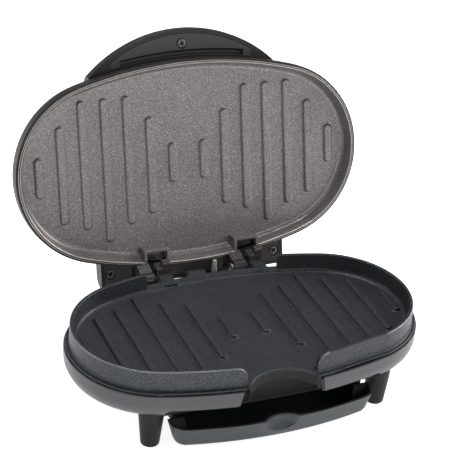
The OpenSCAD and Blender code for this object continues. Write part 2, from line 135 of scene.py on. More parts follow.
def turned(profile, centre=(0, 0, 0), axis="z", steps=48):
    """A profile of (radius, height) turned about an axis through centre."""
    bm = bmesh.new()
    rows = []
    for k in range(steps):
        a = 2 * math.pi * k / steps
        row = []
        for r, h in profile:
            u, v = r * math.cos(a), r * math.sin(a)
            p = {"z": (u, v, h), "x": (h, u, v), "y": (v, h, u)}[axis]
            row.append(bm.verts.new(Vector(p) + Vector(centre)))
        rows.append(row)
    for k in range(steps):
        a, b = rows[k], rows[(k + 1) % steps]
        for j in range(len(profile) - 1):
            if profile[j][0] == 0 and profile[j + 1][0] == 0:
                continue
            bm.faces.new((a[j], a[j + 1], b[j + 1], b[j]))
    bmesh.ops.remove_doubles(bm, verts=bm.verts, dist=1e-5)
    bmesh.ops.dissolve_degenerate(bm, edges=bm.edges, dist=1e-6)
    return from_bmesh("turned", bm)


def rod(centre, radius, length, axis="z", steps=40):
    """A round bar that starts at centre."""
    return turned([(0, 0), (radius, 0), (radius, length), (0, length)], centre, axis, steps)


def arc(cx, cy, r, start, end, steps):
    """Points of an arc, with its start and end in degrees."""
    return [(cx + r * math.cos(math.radians(start + (end - start) * k / steps)),
             cy + r * math.sin(math.radians(start + (end - start) * k / steps)))
            for k in range(steps + 1)]


def put(piece, mesh):
    """Gives a piece a new mesh in place of its own."""
    old = piece.data
    piece.modifiers.clear()
    piece.data = mesh
    bpy.data.meshes.remove(old)
    return piece


def bake(piece):
    """Turns a piece with modifiers into the plain mesh they give."""
    bpy.context.view_layer.update()
    done = piece.evaluated_get(bpy.context.evaluated_depsgraph_get())
    return put(piece, bpy.data.meshes.new_from_object(done))


def carve(piece, other, how="DIFFERENCE"):
    """Cuts other out of piece, or adds it with UNION, or keeps the shared part."""
    change = piece.modifiers.new("carve", "BOOLEAN")
    change.operation, change.object, change.solver = how, other, "EXACT"
    bake(piece)
    bpy.data.objects.remove(other)
    bm = bmesh.new()
    bm.from_mesh(piece.data)
    bmesh.ops.remove_doubles(bm, verts=bm.verts, dist=2e-3)
    bmesh.ops.dissolve_degenerate(bm, edges=bm.edges, dist=1e-3)
    bmesh.ops.holes_fill(bm, edges=bm.edges, sides=8)
    bm.to_mesh(piece.data)
    bm.free()
    return piece


def join(first, *others):
    """Several closed shapes in one mesh."""
    bm = bmesh.new()
    for piece in (first, *others):
        bm.from_mesh(piece.data)
    for other in others:
        bpy.data.objects.remove(other)
    bm.to_mesh(first.data)
    bm.free()
    return first


def ease(piece, width, steps=2, angle=32):
    """Rounds the edges that are sharper than angle."""
    change = piece.modifiers.new("ease", "BEVEL")
    change.width, change.segments = width, steps
    change.limit_method, change.angle_limit = "ANGLE", math.radians(angle)
    change.use_clamp_overlap = True
    change.miter_outer = "MITER_ARC"
    return bake(piece)


def smooth(piece):
    """Shades a piece round, except at sharp edges. The large faces set the shading next to
    small roundings, so that they look flat."""
    for face in piece.data.polygons:
        face.use_smooth = True
    piece.data.set_sharp_from_angle(angle=math.radians(38))
    change = piece.modifiers.new("weights", "WEIGHTED_NORMAL")
    change.keep_sharp, change.weight = True, 80
    return bake(piece)


def hand_over(piece, name, material, body, replaced, lid=False):
    """Names a finished shape, brings it to metres and to its place, and gives it to its body.
    A lid shape is turned open first."""
    piece.name = name
    piece.data.name = name
    change = Matrix.Scale(MM, 4) @ Matrix.Translation((0, -MID_Y, 0)) \
        @ (SHUT_TO_OPEN if lid else Matrix.Identity(4))
    piece.data.transform(change)
    smooth(piece)
    piece.data.materials.clear()
    piece.data.materials.append(material)
    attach(piece, body)
    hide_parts(*replaced)
    return piece


# ---------------------------------------------------------------- the oval
def station(turn):
    """Arc centre, radius and outward direction of the oval where its edge faces turn."""
    turn = (turn + math.pi) % (2 * math.pi) - math.pi
    if abs(turn) <= JOIN:
        cx, cy, r = END_X, 0.0, END_R
    elif abs(turn) >= math.pi - JOIN:
        cx, cy, r = -END_X, 0.0, END_R
    else:
        cx, cy, r = 0.0, -math.copysign(SIDE_Y, turn), SIDE_R
    return cx, cy, r, math.cos(turn), math.sin(turn)


def at(turn, offset):
    """The point at an offset outside the oval, where its edge faces turn."""
    cx, cy, r, nx, ny = station(turn)
    return cx + (r + offset) * nx, cy + (r + offset) * ny


def back_turn(x):
    """Direction in which the rear side faces at x."""
    return math.acos(x / SIDE_R)


def front_turn(x):
    """Direction in which the front side faces at x."""
    return -math.acos(x / SIDE_R)


def turns(ends=30, sides=26, extra=()):
    """Directions all the way round, close together on the tight ends. An extra direction
    takes the place of those next to it."""
    found = [-JOIN + 2 * JOIN * k / ends for k in range(ends)]
    side = math.pi - 2 * JOIN
    found += [JOIN + side * k / sides for k in range(sides)]
    found += [math.pi - JOIN + 2 * JOIN * k / ends for k in range(ends)]
    found += [math.pi + JOIN + side * k / sides for k in range(sides)]
    extra = [(e + JOIN) % (2 * math.pi) - JOIN for e in extra]
    return sorted([f for f in found if all(abs(f - e) > 0.004 for e in extra)] + extra)


def sweep(profile, path):
    """A closed profile of (offset, height) carried round the whole oval."""
    return loft([[(*at(t, o), z) for o, z in profile] for t in path])


def bowl(profile, path):
    """An open profile that starts and ends over the middle: both ends are closed flat."""
    rings = [[(*at(t, o), z) for t in path] for o, z in profile]
    return loft(rings, round_trip=False, caps=True)


def offset_of(x, y):
    """How far a point lies outside the oval."""
    end = math.hypot(abs(x) - END_X, y)
    if abs(math.atan2(y, abs(x) - END_X)) <= JOIN:
        return end - END_R
    return math.hypot(x, abs(y) + SIDE_Y) - SIDE_R


def paint_light_and_shade(piece, material, chosen, lid=False):
    """Paints light or shade on the faces whose middles, in the drawing's millimetres,
    are chosen, with a further material."""
    piece.data.materials.append(material)
    number = len(piece.data.materials) - 1
    back = Matrix.Translation((0, MID_Y, 0)) @ Matrix.Scale(1 / MM, 4)
    if lid:
        back = SHUT_TO_OPEN.inverted() @ back
    for face in piece.data.polygons:
        if chosen(*(back @ face.center)):
            face.material_index = number


def oval_prism(offset, low, high):
    """The oval, grown by offset, from low to high."""
    return prism([at(t, offset) for t in turns()], low, high)


# ---------------------------------------------------------------- finishes
def rgb(r, g, b):
    """An sRGB colour, 0 to 255, in linear light."""
    return tuple((c / 255 / 12.92) if c <= 10 else ((c / 255 + 0.055) / 1.055) ** 2.4
                 for c in (r, g, b)) + (1.0,)


class Finish:
    """A node material that reads object coordinates, in metres."""

    def __init__(self, name, roughness=0.5, metallic=0.0, **sockets):
        self.material = bpy.data.materials.new(name)
        self.material.use_nodes = True
        self.tree = self.material.node_tree
        self.shader = self.tree.nodes["Principled BSDF"]
        self.shader.inputs["Roughness"].default_value = roughness
        self.shader.inputs["Metallic"].default_value = metallic
        for key, value in sockets.items():
            self.shader.inputs[key.replace("_", " ")].default_value = value
        self.place = self.add("ShaderNodeTexCoord").outputs["Object"]
        self.bump = None

    def add(self, kind, **settings):
        node = self.tree.nodes.new(kind)
        for key, value in settings.items():
            setattr(node, key, value)
        return node

    def link(self, a, b):
        self.tree.links.new(a, b)

    def noise(self, scale, detail=2.0, rough=0.5, squash=None):
        node = self.add("ShaderNodeTexNoise")
        node.inputs["Scale"].default_value = scale
        node.inputs["Detail"].default_value = detail
        node.inputs["Roughness"].default_value = rough
        place = self.place
        if squash:
            mapping = self.add("ShaderNodeMapping")
            mapping.inputs["Scale"].default_value = squash
            self.link(place, mapping.inputs["Vector"])
            place = mapping.outputs["Vector"]
        self.link(place, node.inputs["Vector"])
        return node.outputs["Fac"]

    def cells(self, scale):
        node = self.add("ShaderNodeTexVoronoi", feature="F1")
        node.inputs["Scale"].default_value = scale
        self.link(self.place, node.inputs["Vector"])
        return node.outputs["Distance"]

    def remap(self, value, low, high, to_low=0.0, to_high=1.0):
        node = self.add("ShaderNodeMapRange")
        for key, number in (("From Min", low), ("From Max", high),
                            ("To Min", to_low), ("To Max", to_high)):
            node.inputs[key].default_value = number
        self.link(value, node.inputs["Value"])
        return node.outputs["Result"]

    def mix(self, factor, a, b):
        node = self.add("ShaderNodeMix", data_type="RGBA")
        self.link(factor, node.inputs["Factor"])
        for value, socket in ((a, node.inputs["A"]), (b, node.inputs["B"])):
            if isinstance(value, tuple):
                socket.default_value = value
            else:
                self.link(value, socket)
        return node.outputs["Result"]

    def colour(self, value):
        self.link(value, self.shader.inputs["Base Color"])

    def tint(self, pattern, dark, light, low=0.3, high=0.7):
        self.colour(self.mix(self.remap(pattern, low, high), dark, light))

    def dull(self, pattern, least, most):
        self.link(self.remap(pattern, 0.3, 0.7, least, most), self.shader.inputs["Roughness"])

    def raise_by(self, height, distance, strength=1.0):
        """Adds a fine relief of the given depth in metres."""
        node = self.add("ShaderNodeBump")
        node.inputs["Distance"].default_value = distance
        node.inputs["Strength"].default_value = strength
        self.link(height, node.inputs["Height"])
        if self.bump is not None:
            self.link(self.bump, node.inputs["Normal"])
        self.bump = node.outputs["Normal"]
        self.link(self.bump, self.shader.inputs["Normal"])


def nonstick(name, dark, light, pit, fleck, rough, metal):
    """Sprayed non-stick coat over cast aluminium: fine orange peel and metallic flecks."""
    f = Finish(name, metallic=metal)
    cloud = f.remap(f.noise(26, 3), 0.3, 0.7)
    base = f.mix(cloud, dark, light)
    pits = f.mix(f.remap(f.noise(1150, 2, 0.6), 0.34, 0.56), pit, base)
    grains = f.remap(f.noise(1500, 2, 0.7), 0.52, 0.72)
    f.colour(f.mix(grains, pits, fleck))
    f.dull(f.noise(420, 2), rough - 0.05, rough + 0.07)
    f.raise_by(f.noise(1300, 2, 0.6), 0.00006, 0.6)
    f.raise_by(f.noise(120, 2), 0.00009, 0.35)
    return f.material


def moulded(name, dark, light, rough, grain=1300, depth=0.00004, **sockets):
    """Moulded plastic with a spark-eroded grain and faint flow shading."""
    f = Finish(name, **sockets)
    f.tint(f.noise(14, 3), dark, light)
    f.dull(f.noise(300, 2), rough - 0.04, rough + 0.05)
    f.raise_by(f.noise(grain, 2, 0.55), depth, 0.5)
    return f.material


def sheet_metal(name, dark, light, rough):
    """Bare metal with fine level streaks."""
    f = Finish(name, metallic=1.0)
    streaks = f.noise(1.0, 3, 0.6, squash=(60, 60, 1500))
    f.tint(streaks, dark, light)
    f.dull(streaks, rough, rough + 0.12)
    f.raise_by(streaks, 0.00002, 0.4)
    return f.material


def scorched(name):
    """Heating element sheath, oxidised unevenly by heat."""
    f = Finish(name, metallic=0.8)
    f.tint(f.noise(70, 4, 0.65), rgb(74, 66, 62), rgb(150, 136, 118), 0.35, 0.65)
    f.dull(f.noise(500, 3), 0.42, 0.62)
    f.raise_by(f.noise(900, 3, 0.6), 0.00005, 0.5)
    return f.material


def rubber(name):
    """Dull black rubber, dusty in places."""
    f = Finish(name)
    f.tint(f.noise(60, 3), rgb(20, 20, 21), rgb(33, 33, 34))
    f.dull(f.noise(800, 3), 0.72, 0.9)
    f.raise_by(f.noise(1100, 3, 0.6), 0.00007, 0.6)
    return f.material


def ceramic(name):
    """Unglazed white steatite."""
    f = Finish(name, roughness=0.6)
    f.tint(f.noise(90, 4), rgb(226, 221, 208), rgb(240, 237, 228), 0.35, 0.65)
    f.raise_by(f.noise(1500, 3), 0.00005, 0.5)
    return f.material


def braid(name):
    """Glass-fibre sleeve: two sets of crossing strands."""
    f = Finish(name, roughness=0.75)
    cells = f.cells(900)
    f.tint(cells, rgb(232, 230, 224), rgb(184, 181, 175), 0.1, 0.6)
    f.raise_by(cells, 0.00025, 0.8)
    return f.material


def lens(name):
    """Clear red plastic."""
    f = Finish(name, roughness=0.12, Transmission_Weight=0.35, IOR=1.49)
    f.tint(f.noise(200, 2), rgb(168, 26, 20), rgb(196, 44, 32))
    f.raise_by(f.noise(500, 1), 0.00002, 0.3)
    return f.material


# cast plates: the coat, and painted shade, highlights and light on its rims and hinges
lid_plate_coat = nonstick("Lid_plate_nonstick", rgb(123, 118, 117), rgb(137, 132, 131),
                          rgb(98, 93, 92), rgb(216, 210, 206), 0.36, 0.5)
lower_plate_coat = nonstick("Lower_plate_nonstick", rgb(44, 48, 52), rgb(54, 58, 62),
                            rgb(28, 31, 34), rgb(106, 111, 116), 0.44, 0.4)
# painted shade: a darker copy of the lid plate's coat, for the flat face of its rim
flat_rim_painted_shade = nonstick("Flat_rim_painted_shade", rgb(84, 80, 79), rgb(96, 92, 91),
                    rgb(70, 66, 65), rgb(150, 145, 142), 0.45, 0.4)
# painted light: one grey for the hinge ears, lighter than their coat, and the lid's barrels
hinge_grey_painted_light = nonstick("Hinge_grey_painted_light", rgb(64, 61, 60), rgb(76, 72, 71),
                         rgb(44, 42, 41), rgb(150, 146, 143), 0.36, 0.55)
# painted highlight: a bright strip along the top of the lower plate's wall
wall_top_painted_highlight = sheet_metal("Wall_top_painted_highlight", rgb(104, 108, 112), rgb(132, 136, 140), 0.4)
# painted highlights: bright strips on the rounded edges of the lid plate's rim
lid_rim_painted_highlight = sheet_metal("Lid_rim_painted_highlight", rgb(196, 190, 186), rgb(222, 217, 213), 0.34)
# mouldings
housing_plastic = moulded("Housing_plastic", rgb(63, 62, 67), rgb(69, 68, 73), 0.36)
lid_plastic = moulded("Lid_plastic", rgb(32, 30, 30), rgb(38, 35, 35), 0.46,
                      Specular_IOR_Level=0.35)
grip_plastic = moulded("Grip_plastic", rgb(47, 45, 44), rgb(53, 50, 49), 0.42)
cover_plastic = moulded("Cover_plastic", rgb(46, 42, 41), rgb(54, 49, 48), 0.6, 900, 0.00007)
# painted shade: near-black for the back of the tray's bay and the hollow under the spout
recess_painted_shade = moulded("Recess_painted_shade", rgb(16, 17, 18), rgb(22, 23, 24), 0.7, 900, 0.00006)
foot_plastic = moulded("Foot_plastic", rgb(10, 11, 12), rgb(15, 16, 17), 0.5,
                       Specular_IOR_Level=0.25)
tray_plastic = moulded("Tray_plastic", rgb(37, 43, 46), rgb(45, 51, 54), 0.46)
red_lens = lens("Red_lens")
# fasteners and inner parts
screw_steel = sheet_metal("Screw_steel", rgb(92, 90, 89), rgb(120, 118, 116), 0.36)
# painted shade: near-black in the cross recesses of the screw heads
cross_painted_shade = sheet_metal("Screw_cross_painted_shade", rgb(22, 21, 21), rgb(30, 29, 28), 0.6)
bright_steel = sheet_metal("Bright_steel", rgb(150, 150, 152), rgb(186, 186, 188), 0.28)
mill_sheet = sheet_metal("Aluminium_sheet", rgb(176, 177, 180), rgb(202, 203, 206), 0.3)
fuse_shell = sheet_metal("Fuse_shell", rgb(182, 176, 156), rgb(206, 200, 182), 0.28)
element_sheath = scorched("Element_sheath")
black_rubber = rubber("Black_rubber")
white_ceramic = ceramic("White_ceramic")
glass_braid = braid("Glass_braid")


# ---------------------------------------------------------------- repeats
def tree_named(name, *sockets):
    """A geometry tree with a geometry input and named inputs, and its in and out nodes."""
    tree = bpy.data.node_groups.new(name, "GeometryNodeTree")
    tree.interface.new_socket("Geometry", in_out="INPUT", socket_type="NodeSocketGeometry")
    for label, kind in sockets:
        tree.interface.new_socket(label, in_out="INPUT", socket_type="NodeSocket" + kind)
    tree.interface.new_socket("Geometry", in_out="OUTPUT", socket_type="NodeSocketGeometry")
    return tree, tree.nodes.new("NodeGroupInput"), tree.nodes.new("NodeGroupOutput")


def close_tree(tree, entry, out, geometry):
    """Ends a tree with Realize Instances and Set Material."""
    real = tree.nodes.new("GeometryNodeRealizeInstances")
    paint = tree.nodes.new("GeometryNodeSetMaterial")
    tree.links.new(geometry, real.inputs["Geometry"])
    tree.links.new(real.outputs["Geometry"], paint.inputs["Geometry"])
    tree.links.new(entry.outputs["Material"], paint.inputs["Material"])
    tree.links.new(paint.outputs["Geometry"], out.inputs["Geometry"])


def run_tree(tree, carrier, **values):
    """Runs a tree on a carrier object and leaves the plain mesh it makes."""
    change = carrier.modifiers.new("tree", "NODES")
    change.node_group = tree
    for item in tree.interface.items_tree:
        if item.item_type == "SOCKET" and item.in_out == "INPUT" and item.name in values:
            change[item.identifier] = values[item.name]
    return bake(carrier)


def rib_tree():
    """Ribs: a section carried along each edge, with the same rounded end on both tips."""
    tree, entry, out = tree_named("Rib_row", ("Section", "Object"), ("Tip", "Object"),
                                  ("Weld", "Float"), ("Material", "Material"))
    add, link = tree.nodes.new, tree.links.new
    curve = add("GeometryNodeMeshToCurve")
    link(entry.outputs["Geometry"], curve.inputs["Mesh"])
    section = add("GeometryNodeObjectInfo")
    link(entry.outputs["Section"], section.inputs["Object"])
    body = add("GeometryNodeCurveToMesh")
    link(curve.outputs["Curve"], body.inputs["Curve"])
    link(section.outputs["Geometry"], body.inputs["Profile Curve"])
    tip = add("GeometryNodeObjectInfo")
    link(entry.outputs["Tip"], tip.inputs["Object"])
    both = add("GeometryNodeJoinGeometry")
    link(body.outputs["Mesh"], both.inputs["Geometry"])
    for start, end, turn in ((1, 0, math.pi), (0, 1, 0.0)):
        ends = add("GeometryNodeCurveEndpointSelection")
        ends.inputs["Start Size"].default_value = start
        ends.inputs["End Size"].default_value = end
        spread = add("GeometryNodeInstanceOnPoints")
        spread.inputs["Rotation"].default_value = (0, 0, turn)
        link(curve.outputs["Curve"], spread.inputs["Points"])
        link(ends.outputs["Selection"], spread.inputs["Selection"])
        link(tip.outputs["Geometry"], spread.inputs["Instance"])
        link(spread.outputs["Instances"], both.inputs["Geometry"])
    real = add("GeometryNodeRealizeInstances")
    link(both.outputs["Geometry"], real.inputs["Geometry"])
    weld = add("GeometryNodeMergeByDistance")
    link(real.outputs["Geometry"], weld.inputs["Geometry"])
    link(entry.outputs["Weld"], weld.inputs["Distance"])
    close_tree(tree, entry, out, weld.outputs["Geometry"])
    return tree


def scatter_tree():
    """The same part set on every point, turned by each point's own angles."""
    tree, entry, out = tree_named("Same_part_on_points", ("Part", "Object"),
                                  ("Material", "Material"))
    add, link = tree.nodes.new, tree.links.new
    part = add("GeometryNodeObjectInfo")
    link(entry.outputs["Part"], part.inputs["Object"])
    spread = add("GeometryNodeInstanceOnPoints")
    link(entry.outputs["Geometry"], spread.inputs["Points"])
    link(part.outputs["Geometry"], spread.inputs["Instance"])
    angle = add("GeometryNodeInputNamedAttribute")
    angle.data_type = "FLOAT_VECTOR"
    angle.inputs["Name"].default_value = "angles"
    link(angle.outputs["Attribute"], spread.inputs["Rotation"])
    close_tree(tree, entry, out, spread.outputs["Instances"])
    return tree


RIB_TREE, SCATTER_TREE = rib_tree(), scatter_tree()


def rib_section(radius, height, toe):
    """Half outline of a rib, (half width, height), from its crown down to its toe:
    a nearly flat crown, round shoulders and steep flanks."""
    lean, shoulder = 72.0, 1.1
    crown = radius - 0.45 - shoulder
    outline = [(0, height), (crown * 0.5, height - 0.03), (crown, height - 0.1)]
    outline += arc(crown, height - 0.1 - shoulder, shoulder, 80, 90 - lean, 6)
    x, y = outline[-1]
    reach = x + (y - toe * (1 - math.cos(math.radians(lean)))) / math.tan(math.radians(lean))
    middle = reach + toe * math.sin(math.radians(lean))
    outline += arc(middle, toe, toe, 270 - lean, 270, 4)
    return outline + [(middle, -0.6)]


def section_curve(half):
    """The whole section of a rib, mirrored from its half outline, as a closed curve."""
    line = bpy.data.curves.new("section", "CURVE")
    line.dimensions = "2D"
    spline = line.splines.new("POLY")
    points = [(-x, y) for x, y in reversed(half[1:])] + half
    spline.points.add(len(points) - 1)
    for p, (x, y) in zip(spline.points, points):
        p.co = (x, -y, 0, 1)
    spline.use_cyclic_u = True
    return new_object("section", line)


def rib_tip(half, steps=12):
    """The rounded end of a rib: its half outline turned half round."""
    bm = bmesh.new()
    rows = []
    for k in range(steps + 1):
        a = math.pi * k / steps
        rows.append([bm.verts.new((r * math.cos(a), r * math.sin(a), h)) for r, h in half])
    for a, b in zip(rows, rows[1:]):
        for j in range(len(half) - 1):
            if half[j][0] == 0:
                bm.faces.new((a[j], a[j + 1], b[j + 1]))
            else:
                bm.faces.new((a[j], a[j + 1], b[j + 1], b[j]))
    bm.faces.new([row[-1] for row in rows])
    return from_bmesh("tip", bm)


def ribs(floor, sign, radius, height, toe, material):
    """All fourteen ribs of a plate. sign is +1 for ribs that rise and -1 for ribs that hang."""
    half = rib_section(radius, height, toe)
    section, tip = section_curve(half), rib_tip(half)
    points, edges = [], []
    for s in (-1, 1):
        for x, y0, y1 in zip(RIB_X, RIB_FRONT, RIB_BACK):
            edges.append((len(points), len(points) + 1))
            points += [(s * x, y0 + radius, 0), (s * x, y1 - radius, 0)]
    mesh = bpy.data.meshes.new("rib_lines")
    mesh.from_pydata(points, edges, [])
    weld = 0.02
    row = run_tree(RIB_TREE, new_object("rib_lines", mesh), Section=section, Tip=tip,
                   Weld=weld, Material=material)
    for helper in (section, tip):
        bpy.data.objects.remove(helper)
    bm = bmesh.new()
    bm.from_mesh(row.data)
    for v in bm.verts:
        v.co.z = floor + sign * v.co.z
    bmesh.ops.remove_doubles(bm, verts=bm.verts, dist=weld)
    bmesh.ops.recalc_face_normals(bm, faces=bm.faces)
    bm.to_mesh(row.data)
    bm.free()
    return row


def cross_head_screw(shank, length, head, dome):
    """A pan-head screw with a cross recess, head at z = 0 facing down."""
    r = shank * 1.9
    outline = [(0, -dome)] + [(r * math.sin(math.radians(a)), -dome * math.cos(math.radians(a)))
                              for a in (15, 30, 45, 60, 75)]
    outline += [(r, 0), (r, head), (shank, head), (shank, head + length), (0, head + length)]
    screw = turned(outline, steps=36)
    wide, slim = r * 0.74, r * 0.17
    mouth, bottom = -dome - 0.4, -dome + min(1.6, head + dome - 0.3)
    for a in (0, 90):
        slot = loft([[(u * wide * part, v * slim * part, z)
                      for u, v in ((-1, -1), (1, -1), (1, 1), (-1, 1))]
                     for part, z in ((1, mouth), (0.7, bottom))], round_trip=False, caps=True)
        slot.data.transform(Matrix.Rotation(math.radians(a), 4, "Z"))
        carve(screw, slot)
    return screw


def scatter(part, places, material):
    """Puts the part on places, a list of (x, y, z, angle about z)."""
    mesh = bpy.data.meshes.new("places")
    mesh.from_pydata([p[:3] for p in places], [], [])
    angles = mesh.attributes.new("angles", "FLOAT_VECTOR", "POINT")
    angles.data.foreach_set("vector", [c for p in places for c in (0, 0, math.radians(p[3]))])
    result = run_tree(SCATTER_TREE, new_object("places", mesh), Part=part, Material=material)
    bpy.data.objects.remove(part)
    return result


# ---------------------------------------------------------------- lower plate
def wall_profile(top, thin=0.0):
    """Section of the lower plate's wall, floor fillet and flange, closed."""
    soft, fillet_z, fillet = 0.9, 61.5, 3.5
    low = 0.0
    if top < fillet_z + soft:
        low = min(0.0, math.degrees(math.asin((top - soft - fillet_z) / fillet)))
    inner = [(-7.7, 55.0)] + arc(-7.7, fillet_z, fillet, -90, low, 6)
    lean = -4.2 + max(0.0, top - fillet_z) / 12.1 + thin
    rim = arc(lean + soft, top - soft, soft, 180, 90, 3)
    rim += arc(-soft - thin, top - soft, soft, 90, 0, 3)
    flange = [(0.25 - thin, 58.2), (0.45, 57.3), (1.1, 56.75)] + arc(2.7, 55.7, 0.7, 90, 0, 3)
    return inner + rim + flange + [(3.4, 55.1), (3.1, 54.6), (-7.0, 54.6)]


def wall_top(x, y):
    """Height of the wall: round ends at the spout, low between the hinges."""
    gap_end = GAP_STEPS[-1]
    if y < 0 and GAP_STEPS[0] <= abs(x) < gap_end:
        return GAP_Z + math.sqrt(GAP_ROUND ** 2 - (gap_end - abs(x)) ** 2)
    if y > 0 and LOW_STEPS[1] - 0.1 < x < LOW_STEPS[2] + 0.1:
        return LOW_WALL_Z
    return RIM_Z


def wall_path():
    """Directions along the wall: those at the right end of its gap, those round the oval,
    and those at the left end."""
    apart = 0.004
    first = [front_turn(x) for x in GAP_STEPS]
    last = [2 * math.pi + front_turn(-x) for x in reversed(GAP_STEPS)]
    path = [t for t in turns(36, 40, [back_turn(x) for x in LOW_STEPS])
            if not (front_turn(-41.5) < t < front_turn(41.5))]
    path = [t if t > first[0] else t + 2 * math.pi for t in path]
    return first, sorted(t for t in path if first[-1] + apart < t < last[0] - apart), last


def plate_wall(path):
    rings = []
    for t in path:
        x, y = at(t, 0)
        thin = GAP_THIN.get(round(abs(x), 2), 0.0) if y < 0 else 0.0
        rings.append([(*at(t, o), z) for o, z in wall_profile(wall_top(x, y), thin)])
    return loft(rings, round_trip=False, caps=True)


def spout_arc(radius, half_width, sign=1, steps=40):
    """Arc behind the spout's centre, from left to right, or back for sign -1."""
    edge = math.degrees(math.asin(half_width / radius))
    return [(radius * math.sin(math.radians(a)), SPOUT_Y + radius * math.cos(math.radians(a)))
            for a in [sign * (2 * edge * k / steps - edge) for k in range(steps + 1)]]


def plate_floor(path):
    """Cooking floor with the scooped pouring edge at the front."""
    outline = [at(t, -5.6) for t in path]
    outline += [at(front_turn(x), 0.3) for x in (-31.5, -29, -27.5)]
    outline += spout_arc(SPOUT_R, 25.75)
    outline += [at(front_turn(x), 0.3) for x in (27.5, 29, 31.5)]
    return ease(prism(outline, 54.8, FLOOR_Z), 0.9, 3, 50)


def spout_lips():
    """Corners of the pouring edge, with a small fin under each."""
    lips = []
    for s in (-1, 1):
        outline = [at(front_turn(s * x), 3.4) for x in (31, 30, 29, 28.2)]
        outline += [(s * x, SPOUT_Y + math.sqrt(SPOUT_R ** 2 - x * x)) for x in (27.8, 26.5, 25)]
        outline += [(s * 25, -74), (s * 31, -74)]
        lips.append(ease(prism(outline, 54.7, 56.4), 0.5, 2))
        fin = block((s * 29.6 - 0.7, -84.2, 46), (s * 29.6 + 0.7, -79.5, 57.4))
        lips.append(ease(fin, 0.35, 2))
    return lips


def make_lower_plate():
    first, path, last = wall_path()
    wall, floor, lips = plate_wall(first + path + last), plate_floor(path), spout_lips()
    apron_r, apron_half = 34.8, 30.2
    apron = spout_arc(apron_r, apron_half) + spout_arc(SPOUT_R, apron_half, -1)
    apron = ease(prism(apron, 47.5, 57.2), 0.5, 2)
    ears = [hinge_ear(x) for x in EARS_X]
    bosses = [rod((x, y, 44), 5, 12) for x, y in BOSSES]
    row = ribs(FLOOR_Z - 0.02, 1, 3.6, 2.6, 1.1, lower_plate_coat)
    plate = join(wall, floor, apron, *lips, *ears, *bosses, row)
    hand_over(plate, "lower_cooking_plate", lower_plate_coat, "base",
              ["lower_grill_plate"])
    # painted light: the hinge ears grey, lighter than the plate's coat
    paint_light_and_shade(plate, hinge_grey_painted_light, lambda x, y, z: y > 88.6 and z > 45)
    # painted shade on the hollow under the spout
    paint_light_and_shade(plate, recess_painted_shade, lambda x, y, z: z < 56.2 and y > -84
           and SPOUT_R - 0.5 < math.hypot(x, y - SPOUT_Y) < apron_r + 0.4)
    # painted highlight along the top of the wall
    paint_light_and_shade(plate, wall_top_painted_highlight, lambda x, y, z: z > max(63.5, wall_top(x, y) - 0.95)
           and -1.0 < offset_of(x, y) < 0.1)


def hinge_ear(x):
    """Ear of the lower plate with the slot in which the hinge pin rises."""
    wide, rise, slot_r = 11.6, 7, 3.1
    foot = [(72, 55), (89.5, 55), (89.5, 46), (101.5, 46), (101.5, 65.5), (89.5, 65.5),
            (89.5, 60.5), (72, 60.5)]
    ear = prism(foot, x, x + wide, "x")
    horn = [(90.5, 54), (97.5, 54)] + arc(94, 68.5, 3.5, 0, 180, 10)
    carve(ear, prism(horn, x + 4.6, x + wide, "x"), how="UNION")
    slot = arc(HINGE_Y, HINGE_Z, slot_r, 180, 360, 12)
    slot += arc(HINGE_Y, HINGE_Z + rise, slot_r, 0, 180, 12)
    carve(ear, prism(slot, x - 2, x + 14, "x"))
    return ease(ear, 0.7, 2)


# ---------------------------------------------------------------- housing
def make_housing():
    centre, radius, skin = (-12.3, 46), 17, 2.5      # arc of the bowl's side
    outside = arc(4.0, 53.3, 0.7, 90, 0, 3) + arc(*centre, radius, 0, -90, 18)
    inside = [(-22, 29), (-22, 31.5)] + arc(*centre, radius - skin, -90, 0, 14)
    inside += arc(2.9, 53.3, 0.7, 180, 90, 3)
    body = sweep(outside + inside, turns(34, 34))
    # opening for the tray, notch under the spout, cord outlet and sockets for the feet
    bay = [(-88, 20), (88, 20)] + arc(88, 34.5, 5.5, -90, 90, 14) + arc(-88, 34.5, 5.5, 90, 270, 14)
    carve(body, prism(bay, -112, -60, "y"))
    carve(body, prism([(-37, 39), (37, 39), (33, 60), (-33, 60)], -112, -58, "y"))
    carve(body, rod((GLAND_X, 70, 38), 6.1, 30, "y"))
    for x, y in FEET:
        carve(body, rod((x, y, 20), 10.3, 20))
    ease(body, 0.7, 3, 34)
    # the lid's stop between the hinges, and the root of the wire sleeve
    parts = [ease(block(*corners), 0.8, 2) for corners in (
        ((-9, 82, 38), (7, 107.5, 49)), ((-9, 104, 43), (7, 110.1, 48.5)),
        ((7, 82, 38), (22, 107, 44)))]
    parts.append(rod((17, 107, 38), 2.6, 6))

    def inner_wall(wall):
        """A wall of the tray's bay, cut off at the bowl."""
        parts.append(ease(carve(wall, oval_prism(3, 28, 60), how="INTERSECT"), 0.3, 1))

    inner_wall(block((-91, -62.5, 29), (91, -60, 52)))
    for s in (-1, 1):
        low, high = sorted((s * 36, s * 91))
        inner_wall(block((low, -90, 40), (high, -60, 42.5)))
        inner_wall(prism([(s * 36.2 + s * u, z) for u, z in
                          ((-0.8, 40), (1.7, 40), (-0.7, 52), (-3.2, 52))], -90, -60, "y"))
    screw_post = [(3.4, 29), (4.6, 29), (4.6, 43.2), (1.7, 43.2), (1.7, 34), (3.4, 34), (3.4, 29)]
    for x, y in BOSSES:
        parts.append(turned(screw_post, (x, y, 0), steps=32))
    housing = join(body, *parts)
    hand_over(housing, "base_housing_shell", housing_plastic, "base",
              ["base_housing"])
    # painted shade on the back wall of the tray's bay
    paint_light_and_shade(housing, recess_painted_shade, lambda x, y, z: -64 < y < -58 and abs(x) < 92 and z < 53)


